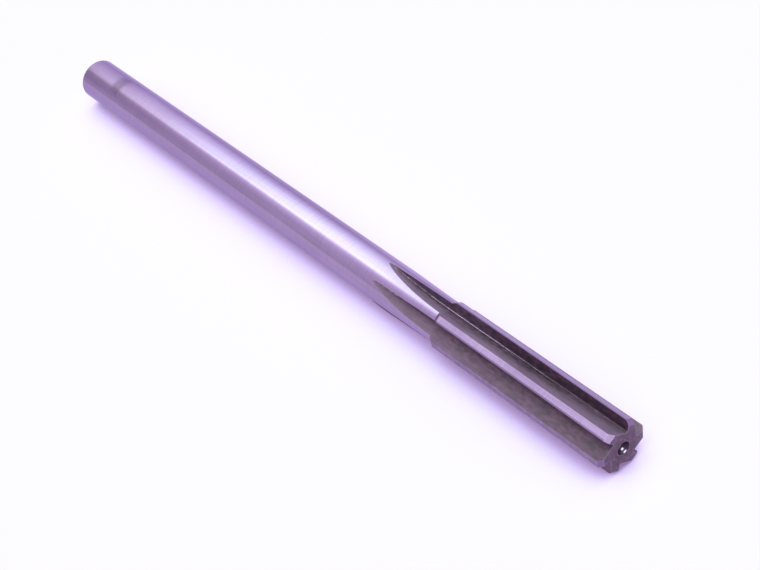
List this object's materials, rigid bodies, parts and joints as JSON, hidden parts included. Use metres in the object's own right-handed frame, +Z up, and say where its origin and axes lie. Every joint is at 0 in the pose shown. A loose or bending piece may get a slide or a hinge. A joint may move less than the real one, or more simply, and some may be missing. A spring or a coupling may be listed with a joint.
{
  "type": "machine reamer",
  "caption": "Straight-fluted machine reamer with a plain cylindrical shank, for finishing drilled holes to size.",
  "frame": {"origin": "on the tool's axis at the shank's end face, in the middle of the centre hole there", "axes": "+X along the axis from the shank's end to the cutting end, +Z up as the tool lies on a bench, +Y to the left when looking towards the cutting end"},
  "size_m": [0.2032, 0.0126, 0.0116],
  "materials": {
    "ground_steel": "bright ground high speed steel: a fine polish on the shank, coarser grinding on the lands and in the flutes"
  },
  "bodies": {
    "root": {"reamer": "ground_steel"}
  },
  "joints": []
}
